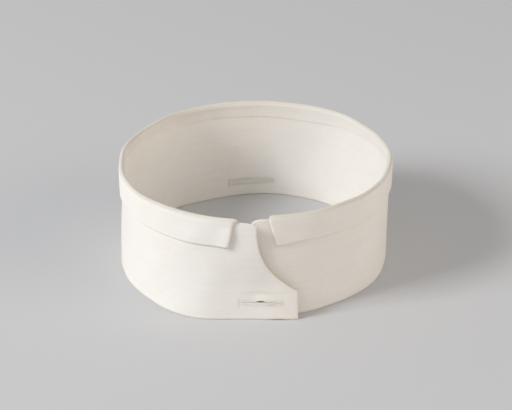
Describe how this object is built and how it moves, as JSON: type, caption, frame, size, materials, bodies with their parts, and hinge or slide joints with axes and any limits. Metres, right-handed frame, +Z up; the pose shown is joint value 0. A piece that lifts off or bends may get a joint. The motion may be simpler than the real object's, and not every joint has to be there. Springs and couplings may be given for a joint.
{
  "type": "linen collar",
  "caption": "Stand-up starched linen collar with a turned-over top edge, lapped at the front with shaped tabs and worked buttonholes, standing on its lower edge.",
  "frame": {"origin": "centre of the collar's footprint box, on the surface that its lower edge stands on", "axes": "+Z up from the foot to the rim, -Y out of the front where the two tabs lap, +X to the side that the outer tab's tip points to"},
  "size_m": [0.1302, 0.1284, 0.0525],
  "materials": {
    "band_linen": "starched matt plain weave, warm white",
    "turned_linen": "starched matt plain weave, warm white"
  },
  "bodies": {
    "root": {"collar_band": "band_linen", "turned_edge": "turned_linen"}
  },
  "joints": []
}
